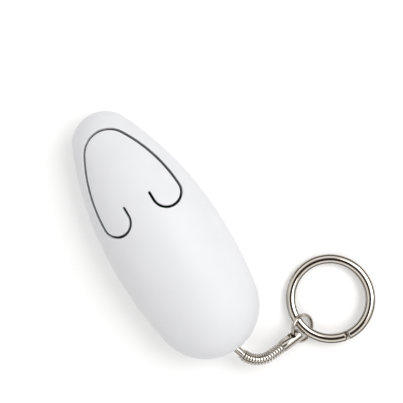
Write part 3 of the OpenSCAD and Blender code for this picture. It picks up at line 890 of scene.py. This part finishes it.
def softened(name, body, material, bevel, cutter=None):
    """Piece from a body, less a cutter where one is given, with its edges rounded off."""
    whole = piece(name + "_whole", *body, material)
    if cutter:
        tool = piece(name + "_tool", *cutter, material)
        cut = whole.modifiers.new("cut", "BOOLEAN")
        cut.operation = "DIFFERENCE"
        cut.solver = "EXACT"
        cut.object = tool
    soft = whole.modifiers.new("soft", "BEVEL")
    soft.width = bevel * MM
    soft.segments = 3
    soft.limit_method = "ANGLE"
    soft.angle_limit = math.radians(50)
    made = bpy.data.meshes.new_from_object(whole.evaluated_get(bpy.context.evaluated_depsgraph_get()))
    bpy.data.objects.remove(whole)
    if cutter:
        bpy.data.objects.remove(tool)
    return placed(name, made, material)


def rectangle(low, high):
    """Closed outline of a rectangle from its low corner and its high corner."""
    return [Vector(p) for p in ((low[0], low[1]), (high[0], low[1]), (high[0], high[1]), (low[0], high[1]))]


def slab(loop, low, high, *holes):
    """Points and faces of a flat plate between two heights, with holes."""
    flat, triangles = triangulated([loop, *holes], [], [])
    kept = [t for t, held in triangles if held == {0}]
    return thick_sheet(flat, kept, lambda p: Vector((*p, high)), lambda p: Vector((*p, low)))


def joined(shapes):
    """Points and faces of several shapes as one."""
    points, faces = [], []
    for shape_points, shape_faces in shapes:
        faces += [tuple(len(points) + i for i in face) for face in shape_faces]
        points += shape_points
    return points, faces


def battery_bay():
    """Inside of the battery bay: a ledge for the door, walls round the cells and the boss of the screw."""
    room_beside = 0.3
    room_behind = 0.5
    room_ahead = 0.1
    ledge_gap = 0.02
    ledge_thick = 1.0
    ledge_reach = 1.4
    sunk = 0.05
    rib = 1.0
    rib_gap = 0.2
    rib_below_seam = 0.1
    stop = 1.3
    bore_r = 0.85
    boss_wall = 1.2
    bay_boss_top = 6.2
    soft = 0.1

    first_cell, last_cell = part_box("button_cell_1"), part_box("button_cell_3")
    contact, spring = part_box("cell_contact"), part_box("cell_spring")
    half = last_cell[1][0] / MM + room_beside
    back = first_cell[0][1] / MM - room_behind
    front = last_cell[1][1] / MM + room_ahead
    ledge_low, ledge_top = wall + ledge_gap, wall + ledge_thick
    foot = ledge_top - sunk
    contact_half, contact_top = contact[1][0] / MM, contact[1][2] / MM
    contact_y, spring_y = contact[1][1] / MM, spring[0][1] / MM
    bore = arc((0.0, door_screw_y), bore_r, 0, 360)[:-1]
    opening = rectangle((-half, back), (half, front))
    shapes = [slab(door_outline(ledge_reach), ledge_low, ledge_top, opening, bore)]
    for side in (-1, 1):
        edges = sorted((side * (half + rib_gap), side * (half + rib_gap + rib)))
        rib_outline = rectangle((edges[0], back), (edges[1], front))
        shapes.append(slab(rib_outline, foot, axis_height - rib_below_seam))
    for y in (contact_y, spring_y - stop):
        shapes.append(slab(rectangle((-contact_half, y), (contact_half, y + stop)), foot, contact_top))
    boss = [
        (bore_r, foot),
        (bore_r + boss_wall, foot),
        (bore_r + boss_wall, bay_boss_top),
        (bore_r, bay_boss_top),
        (bore_r, foot),
    ]
    shapes.append(lathe(boss, Vector((0, door_screw_y, 0)), UPRIGHT))
    made = softened("battery_bay", joined(shapes), ABS, soft)
    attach(made, "housing")


def tail_socket():
    """Pocket behind the tail opening that holds the pin: a roof, a floor and a back wall."""
    half = 4.4
    back_y = -32.4
    mouth_y = -36.1
    plate = 1.1
    pin_hole_r = 0.62
    pin_hole_step = 0.2
    overlap = 0.1
    soft = 0.12
    roof = axis_height + slot_up
    ground = axis_height - slot_down
    loop = rectangle((-half, mouth_y), (half, back_y))
    pin_hole = arc((pin_place.x, pin_place.y), pin_hole_r, 0, 360, pin_hole_step)[:-1]
    back_wall = rectangle((-half, back_y - plate), (half, back_y))
    shapes = [
        slab(loop, roof, roof + plate, pin_hole),
        slab(loop, ground - plate, ground, pin_hole),
        slab(back_wall, ground - overlap, roof + overlap),
    ]
    made = softened("tail_socket", joined(shapes), ABS, soft)
    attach(made, "housing")


# Geometry Nodes
def node_tree(name, sizes):
    """New node tree with named inputs for its sizes, and its input and output nodes."""
    tree = bpy.data.node_groups.new(name, "GeometryNodeTree")
    tree.interface.new_socket("Geometry", in_out="INPUT", socket_type="NodeSocketGeometry")
    for size, kind in sizes.items():
        tree.interface.new_socket(size, in_out="INPUT", socket_type=kind)
    tree.interface.new_socket("Geometry", in_out="OUTPUT", socket_type="NodeSocketGeometry")
    return tree, node(tree, "NodeGroupInput"), node(tree, "NodeGroupOutput")


def grown(name, tree, mesh, values, material, sharp=SHARP_EDGE):
    """Piece that a node tree makes from a mesh, as one plain mesh."""
    holder = bpy.data.objects.new(name + "_holder", mesh)
    bpy.context.collection.objects.link(holder)
    modifier = holder.modifiers.new("grow", "NODES")
    modifier.node_group = tree
    for item in tree.interface.items_tree:
        if item.in_out == "INPUT" and item.name in values:
            modifier[item.identifier] = values[item.name]
    evaluated = holder.evaluated_get(bpy.context.evaluated_depsgraph_get())
    made = bpy.data.meshes.new_from_object(evaluated)
    holder.modifiers.remove(modifier)
    bpy.data.objects.remove(holder)
    return placed(name, made, material, sharp)


def finish_tree(tree, geometry, outcome, material):
    """Ends a node tree with real geometry and its material."""
    real = node(tree, "GeometryNodeRealizeInstances", links={"Geometry": geometry})
    painted = node(tree, "GeometryNodeSetMaterial", {"Material": material},
                   {"Geometry": real.outputs["Geometry"]})
    tree.links.new(painted.outputs["Geometry"], outcome.inputs["Geometry"])


def link_tree():
    """Tree for one chain link: a flat rim with softened edges on a short hub, at its place and heading."""
    length = "NodeSocketFloat"
    tree, given, outcome = node_tree("snake_chain_link", {
        "Rim Radius": length, "Rim Width": length, "Rim Thickness": length, "Rim Round": length,
        "Hub Radius": length, "Hub Length": length,
        "Place": "NodeSocketVector", "Heading": "NodeSocketRotation"})
    give = given.outputs
    round_path = node(tree, "GeometryNodeCurvePrimitiveCircle", {"Resolution": 40},
                      {"Radius": give["Rim Radius"]})
    band = node(tree, "GeometryNodeCurvePrimitiveQuadrilateral",
                links={"Width": give["Rim Width"], "Height": give["Rim Thickness"]})
    soft_band = node(tree, "GeometryNodeFilletCurve", {"Count": 5},
                     {"Curve": band.outputs["Curve"], "Radius": give["Rim Round"]}, mode="POLY")
    rim = node(tree, "GeometryNodeCurveToMesh",
               links={"Curve": round_path.outputs["Curve"], "Profile Curve": soft_band.outputs["Curve"]})
    hub = node(tree, "GeometryNodeMeshCylinder", {"Vertices": 32},
               {"Radius": give["Hub Radius"], "Depth": give["Hub Length"]})
    both = node(tree, "GeometryNodeJoinGeometry")
    tree.links.new(rim.outputs["Mesh"], both.inputs["Geometry"])
    tree.links.new(hub.outputs["Mesh"], both.inputs["Geometry"])
    set_down = node(tree, "GeometryNodeTransform",
                    links={"Geometry": both.outputs["Geometry"], "Translation": give["Place"],
                           "Rotation": give["Heading"]})
    finish_tree(tree, set_down.outputs["Geometry"], outcome, NICKEL)
    return tree


def link_heading(i):
    """Direction along the chain at a link."""
    if i < link_count - 1:
        return (link_feet[i + 1] - link_feet[i]).normalized()
    return link_heading(i - 1)


def chain_links():
    """Snake chain: one link for each body, with its rim half a pitch past its hinge."""
    rim_sunk_in_hub = 0.04
    hub_gap = 0.1
    tree = link_tree()
    rim_width = link_r - hub_r + rim_sunk_in_hub
    for i, body in enumerate(link_names):
        way = link_heading(i)
        made = grown("snake_link_%d" % (i + 1), tree, bpy.data.meshes.new("seed"), {
            "Rim Radius": (link_r - rim_width / 2) * MM,
            "Rim Width": rim_width * MM,
            "Rim Thickness": link_thick * MM,
            "Rim Round": link_round * MM,
            "Hub Radius": hub_r * MM,
            "Hub Length": (link_pitch - hub_gap) * MM,
            "Place": (link_feet[i] + way * link_pitch / 2) * MM,
            "Heading": UPRIGHT.rotation_difference(way).to_euler(),
        }, NICKEL)
        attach(made, body)
        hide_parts("chain_link_%d" % (i + 1))


def screw_tree():
    """Tree that sets a screw with a domed head, a cross recess and a thread on each point of a mesh."""
    length = "NodeSocketFloat"
    tree, given, outcome = node_tree("cross_head_screws", {
        "Head Radius": length, "Head Squash": length, "Head Depth": length,
        "Cross Span": length, "Cross Width": length,
        "Core Radius": length, "Core Length": length, "Thread Turns": length, "Thread Radius": length})
    give = given.outputs
    ball = node(tree, "GeometryNodeMeshUVSphere", {"Segments": 32, "Rings": 16},
                {"Radius": give["Head Radius"]})
    squash = node(tree, "ShaderNodeCombineXYZ", {"X": 1.0, "Y": 1.0}, {"Z": give["Head Squash"]})
    dome = node(tree, "GeometryNodeTransform",
                links={"Geometry": ball.outputs["Mesh"], "Scale": squash.outputs["Vector"]})
    bars = []
    for first, second in (("Cross Span", "Cross Width"), ("Cross Width", "Cross Span")):
        size = node(tree, "ShaderNodeCombineXYZ",
                    links={"X": give[first], "Y": give[second], "Z": give["Head Depth"]})
        bar = node(tree, "GeometryNodeMeshCube", links={"Size": size.outputs["Vector"]})
        low = node(tree, "ShaderNodeMath", {1: -1.0}, {0: give["Head Depth"]}, operation="MULTIPLY")
        down = node(tree, "ShaderNodeCombineXYZ", links={"Z": low.outputs["Value"]})
        bars.append(node(tree, "GeometryNodeTransform",
                         links={"Geometry": bar.outputs["Mesh"], "Translation": down.outputs["Vector"]}))
    head = node(tree, "GeometryNodeMeshBoolean", operation="DIFFERENCE", solver="EXACT")
    tree.links.new(dome.outputs["Geometry"], head.inputs["Mesh 1"])
    for bar in bars:
        tree.links.new(bar.outputs["Geometry"], head.inputs["Mesh 2"])
    clean = node(tree, "GeometryNodeMergeByDistance", {"Distance": 2e-6}, {"Geometry": head.outputs["Mesh"]})
    core = node(tree, "GeometryNodeMeshCylinder", {"Vertices": 24},
                {"Radius": give["Core Radius"], "Depth": give["Core Length"]})
    half = node(tree, "ShaderNodeMath", {1: 0.5}, {0: give["Core Length"]}, operation="MULTIPLY")
    up = node(tree, "ShaderNodeCombineXYZ", links={"Z": half.outputs["Value"]})
    shank = node(tree, "GeometryNodeTransform",
                 links={"Geometry": core.outputs["Mesh"], "Translation": up.outputs["Vector"]})
    helix = node(tree, "GeometryNodeCurveSpiral", {"Resolution": 24},
                 {"Rotations": give["Thread Turns"], "Start Radius": give["Core Radius"],
                  "End Radius": give["Core Radius"], "Height": give["Core Length"]})
    crest = node(tree, "GeometryNodeCurvePrimitiveCircle", {"Resolution": 8},
                 {"Radius": give["Thread Radius"]})
    thread = node(tree, "GeometryNodeCurveToMesh", {"Fill Caps": True},
                  {"Curve": helix.outputs["Curve"], "Profile Curve": crest.outputs["Curve"]})
    whole = node(tree, "GeometryNodeJoinGeometry")
    for source in (clean.outputs["Geometry"], shank.outputs["Geometry"], thread.outputs["Mesh"]):
        tree.links.new(source, whole.inputs["Geometry"])
    screw = node(tree, "GeometryNodeInstanceOnPoints",
                 links={"Points": give["Geometry"], "Instance": whole.outputs["Geometry"]})
    finish_tree(tree, screw.outputs["Instances"], outcome, ZINC)
    return tree


def screw_set(name, tree, places, low, high, head_r, head_rise, shank_r):
    """Like screws, head down, between the lowest point of their heads and their tips."""
    thread_r = 0.14
    thread_pitch = 0.7
    cross_span = 1.2 * head_r
    cross_width = 0.24 * head_r
    sharp_edge = 25
    length = high - low - head_rise - thread_r
    seeds = bpy.data.meshes.new("seeds")
    seeds.from_pydata([Vector((x, y, low + head_rise)) * MM for x, y in places], [], [])
    return grown(name, tree, seeds, {
        "Head Radius": head_r * MM,
        "Head Squash": head_rise / head_r,
        "Head Depth": head_rise * MM,
        "Cross Span": cross_span * MM,
        "Cross Width": cross_width * MM,
        "Core Radius": (shank_r - thread_r) * MM,
        "Core Length": length * MM,
        "Thread Turns": length / thread_pitch,
        "Thread Radius": thread_r * MM,
    }, ZINC, sharp_edge)


def screws():
    """Housing screws and the battery door's screw, heads down in their pockets."""
    tree = screw_tree()
    heads_low, tips_high = (corner[2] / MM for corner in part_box("housing_screws"))
    made = screw_set("housing_screw_set", tree, screw_places, heads_low, tips_high,
                     head_r=1.9, head_rise=1.4, shank_r=0.9)
    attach(made, "housing")
    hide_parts("housing_screws")
    made = screw_set("door_screw", tree, [(0.0, door_screw_y)], door_screw_low.z, door_screw_high.z,
                     head_r=1.6, head_rise=0.6, shank_r=0.8)
    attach(made, "door")
    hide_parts("battery_door_screw")


def round_corner(r, h, size, start, steps=4):
    """Profile points round an outer corner of a turned piece, angles in degrees from the radial direction."""
    angles = [math.radians(start + 90 * i / steps) for i in range(steps + 1)]
    return [(r + size * math.cos(a), h + size * math.sin(a)) for a in angles]


def tail_ferrule_sleeve():
    """Tail ferrule: an eye on the tail pin, a polished neck and a collar that grips the chain."""
    soft = 0.15
    neck_start = 0.9
    fillet_run = 0.1
    fillet_rise = 0.06
    eye_bore_r = 0.68
    eye_r = 1.6
    eye_half = 0.85
    way = (link_feet[0] - pin_place).normalized()
    length = (link_feet[0] - pin_place).length - (link_pitch - link_thick) / 2
    collar_foot = length - collar_len
    profile = [(0, neck_start), (ferrule_r, neck_start)]
    profile += [(ferrule_r, collar_foot - fillet_run), (ferrule_r + fillet_rise, collar_foot)]
    profile += round_corner(collar_r - soft, collar_foot + soft, soft, -90)
    profile += round_corner(collar_r - soft, length - soft, soft, 0)
    profile.append((0, length))
    eye_profile = [
        (eye_bore_r, -eye_half),
        (eye_r - soft, -eye_half),
        (eye_r, soft - eye_half),
        (eye_r, eye_half - soft),
        (eye_r - soft, eye_half),
        (eye_bore_r, eye_half),
        (eye_bore_r, -eye_half),
    ]
    neck = lathe(profile, pin_place, way)
    eye = lathe(eye_profile, pin_place, UPRIGHT)
    made = piece("tail_ferrule_sleeve", *joined([neck, eye]), NICKEL)
    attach(made, "ferrule")
    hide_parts("tail_ferrule")


def chain_cap():
    """End cap of the chain: a polished barrel with an eye through it for the jump ring."""
    soft = 0.25
    tip = 0.45
    eye_soft = 0.12
    through = 3 * cap_r
    way = link_heading(link_count - 1)
    start = link_feet[-1] + way * link_pitch
    low = (link_pitch - link_thick) / 2
    profile = [(0, low)] + round_corner(cap_r - soft, low + soft, soft, -90)
    profile += round_corner(cap_r - tip, cap_len - tip, tip, 0) + [(0, cap_len)]
    hole = [(0, -through), (cap_eye_r, -through), (cap_eye_r, through), (0, through)]
    barrel = lathe(profile, start, way, FINE_SEGMENTS)
    cutter = lathe(hole, eye_place, eye_axis, FINE_SEGMENTS)
    made = softened("chain_cap", barrel, NICKEL, eye_soft, cutter)
    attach(made, link_names[-1])
    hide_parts("chain_end_cap")


def wire_section(r, sides=20):
    """Round section of a wire."""
    angles = [FULL_TURN * k / sides for k in range(sides)]
    return [(r * math.cos(a), r * math.sin(a)) for a in angles]


def jump_ring_wire():
    """Jump ring: round wire bent into a loop, with the butt joint where its ends meet."""
    joint_at = math.radians(118)
    half_gap = 0.05 / jump_r
    steps = 120
    out = (eye_place - jump_place).normalized()
    side = jump_axis.cross(out)
    frames = []
    for i in range(steps + 1):
        a = joint_at + half_gap + (FULL_TURN - 2 * half_gap) * i / steps
        across = math.cos(a) * out + math.sin(a) * side
        frames.append((jump_place + jump_r * across, across, jump_axis))
    made = piece("jump_ring_wire", *swept(wire_section(jump_wire_r), frames), NICKEL)
    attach(made, "jump_ring")
    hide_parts("jump_ring")


def key_ring_coil():
    """Split ring: one crowned band wound twice round, which steps from the lower turn to the upper one."""
    crown = 1.6
    sides = 36
    steps = 720
    across_axis = Vector((1, 0, 0))
    along_axis = ring_axis.cross(across_axis)
    middle_r = (ring_od - ring_band) / 2
    rise = ring_turn + ring_split
    section = []
    for k in range(sides):
        a = FULL_TURN * k / sides
        x = math.cos(a) * ring_band / 2
        z = math.copysign(abs(math.sin(a)) ** crown, math.sin(a)) * ring_turn / 2
        section.append((x, z))
    frames = []
    first = ring_step_at + ring_step_half
    last = ring_step_at + 2 * FULL_TURN - ring_step_half
    for i in range(steps + 1):
        a = first + (last - first) * i / steps
        share = (a - ring_step_at - FULL_TURN + ring_step_half) / (2 * ring_step_half)
        share = clamped(share, 0.0, 1.0)
        # The step rises smoothly, from half a rise below the middle to half a rise above it
        height = rise * (share * share * (3 - 2 * share) - 0.5)
        across = math.cos(a) * across_axis + math.sin(a) * along_axis
        frames.append((ring_place + middle_r * across + height * ring_axis, across, ring_axis))
    made = piece("key_ring_coil", *swept(section, frames), NICKEL)
    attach(made, "key_ring")
    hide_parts("key_ring")


def button_cells():
    """Button cells: a can with a crimped rim, a gasket groove and a smaller cap at the back."""
    soft = 0.4
    cap_soft = 0.2
    cap_rise = 0.4
    groove = 0.12
    for name in ("button_cell_1", "button_cell_2", "button_cell_3"):
        low, high = (Vector(corner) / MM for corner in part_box(name))
        r = high.x
        length = high.y - low.y
        cell_cap_r = 0.8 * r
        groove_r = 0.84 * r
        crimp_r = 0.86 * r
        profile = [(0, 0)] + round_corner(cell_cap_r - cap_soft, cap_soft, cap_soft, -90)
        profile += [(cell_cap_r, cap_rise), (groove_r, cap_rise + groove), (crimp_r, cap_rise)]
        profile += round_corner(r - soft, cap_rise + soft, soft, -90)
        profile += round_corner(r - soft, length - soft, soft, 0) + [(0, length)]
        place = Vector((0, low.y, (low.z + high.z) / 2))
        made = piece(name + "_can", *lathe(profile, place, FORWARD, FINE_SEGMENTS), CELL)
        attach(made, "housing")
        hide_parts(name)


def inner_finishes():
    """Finishes of the pieces inside the body that keep their CAD shape."""
    finishes = {
        tinted_window(): ["nose_window"],
        BRASS: ["laser_barrel", "lens_nut"],
        lens_glass(): ["collimator_lens"],
        CELL: ["laser_diode", "cell_spring", "cell_contact"],
        solder_mask(): ["circuit_board"],
        BLACK: ["push_switch", "driver_parts"],
        grey_moulding(): ["switch_plunger"],
        red_sleeve(): ["red_lead"],
        black_sleeve(): ["black_lead"],
        ZINC: ["tail_pin"],
    }
    for material, names in finishes.items():
        for name in names:
            shown = frame["nodes"][name]
            shown.data.materials.clear()
            shown.data.materials.append(material)


# Stage: middle of the photograph on the floor, and the directions of its right and its top
PHOTO_CENTRE = Vector((14.09, 1.54, 0.0))
PHOTO_RIGHT = Vector((0.8487, -0.5289, 0.0)).normalized()
PHOTO_UP = UPRIGHT.cross(PHOTO_RIGHT)
CAMERA_HEIGHT = 245.0
FRAME_WIDTH = 115.2
FLOOR_HALF = 9000.0
FLOOR_GLOW = 0.15
FLOOR_GLOW_STRENGTH = 1.4
# Key lamp: how much further to the right than to the top, then its distance aside, height, size and power
KEY_LEAN = 2.3
KEY_ASIDE = 290.0
KEY_HEIGHT = 485.0
KEY_SIZE = 320.0
KEY_WATTS = 1.25
# Studio tones by the height of a direction, from the horizon to straight above
STUDIO = [
    (0.0, "#cbcbc8"),
    (0.08, "#ffffff"),
    (0.12, "#ffffff"),
    (0.3, "#6a655f"),
    (0.6, "#605c57"),
    (0.72, "#ffffff"),
    (0.925, "#ffffff"),
    (0.96, "#3a332c"),
]
STUDIO_STRENGTH = 1.41


def camera():
    """Camera straight above, turned so that the nose points up and to the left as in the photograph."""
    data = bpy.data.cameras.new("camera")
    data.sensor_width = 36.0
    data.lens = data.sensor_width * CAMERA_HEIGHT / FRAME_WIDTH
    data.clip_start = 0.01
    data.clip_end = 20.0
    made = bpy.data.objects.new("camera", data)
    axes = Matrix((PHOTO_RIGHT, PHOTO_UP, PHOTO_RIGHT.cross(PHOTO_UP))).transposed().to_4x4()
    made.matrix_world = Matrix.Translation((PHOTO_CENTRE + Vector((0, 0, CAMERA_HEIGHT))) * MM) @ axes
    bpy.context.collection.objects.link(made)
    bpy.context.scene.camera = made


def floor():
    """Plain white coated paper with a faint tooth, which the camera sees as white with a soft shadow."""
    paper = mottled("paper_coated_white", "#fafafa", "#f8f8f8",
                    patch_mm=60.0, rough=(0.85, 0.95), grain_mm=1.0, grain_depth_mm=0.003)
    tree = paper.node_tree
    ray = node(tree, "ShaderNodeLightPath").outputs
    seen = ray["Is Camera Ray"]
    for kind in ("Is Glossy Ray", "Is Transmission Ray"):
        seen = node(tree, "ShaderNodeMath", links={0: seen, 1: ray[kind]}, operation="ADD").outputs["Value"]
    share = node(tree, "ShaderNodeMath", {1: FLOOR_GLOW}, {0: seen}, operation="MULTIPLY", use_clamp=True)
    glow = node(tree, "ShaderNodeEmission", {"Strength": FLOOR_GLOW_STRENGTH})
    lit = tree.nodes["Principled BSDF"].outputs["BSDF"]
    both = node(tree, "ShaderNodeMixShader",
                links={0: share.outputs["Value"], 1: lit, 2: glow.outputs["Emission"]})
    tree.links.new(both.outputs["Shader"], tree.nodes["Material Output"].inputs["Surface"])
    corners = rectangle((-FLOOR_HALF, -FLOOR_HALF), (FLOOR_HALF, FLOOR_HALF))
    made = piece("floor", [(*corner, 0) for corner in corners], [(0, 1, 2, 3)], paper)


def lamp(name, away, size, watts):
    """Soft square lamp that faces the object from a direction and distance in millimetres."""
    data = bpy.data.lights.new(name, "AREA")
    data.size = size * MM
    data.energy = watts
    made = bpy.data.objects.new(name, data)
    made.location = (PHOTO_CENTRE + away) * MM
    made.rotation_euler = away.to_track_quat("Z", "Y").to_euler()
    bpy.context.collection.objects.link(made)


def lights():
    """Large soft key lamp from the picture's right, in a studio of pale and grey bands, dark overhead."""
    upper_right = (KEY_LEAN * PHOTO_RIGHT + PHOTO_UP).normalized()
    lamp("key", KEY_ASIDE * upper_right + KEY_HEIGHT * UPRIGHT, KEY_SIZE, KEY_WATTS)
    world = bpy.data.worlds.new("studio")
    bpy.context.scene.world = world
    world.use_nodes = True
    tree = world.node_tree
    place = node(tree, "ShaderNodeTexCoord").outputs["Generated"]
    way = node(tree, "ShaderNodeSeparateXYZ", links={"Vector": place})
    shade = node(tree, "ShaderNodeValToRGB", links={"Fac": way.outputs["Z"]})
    ramp = shade.color_ramp
    # New stops start in the middle, and all stops are then set in order
    while len(ramp.elements) < len(STUDIO):
        ramp.elements.new(0.5)
    for stop, (height, colour) in zip(ramp.elements, STUDIO):
        stop.position = height
        stop.color = linear(colour)
    background = tree.nodes["Background"]
    tree.links.new(shade.outputs["Color"], background.inputs["Color"])
    background.inputs["Strength"].default_value = STUDIO_STRENGTH


camera()
floor()
lights()
bpy.context.scene.view_settings.view_transform = "Standard"

upper_shell_and_button()
lower_shell()
battery_door_plate()
nose_bezel()
battery_bay()
tail_socket()
screws()
tail_ferrule_sleeve()
chain_links()
chain_cap()
jump_ring_wire()
key_ring_coil()
button_cells()
inner_finishes()
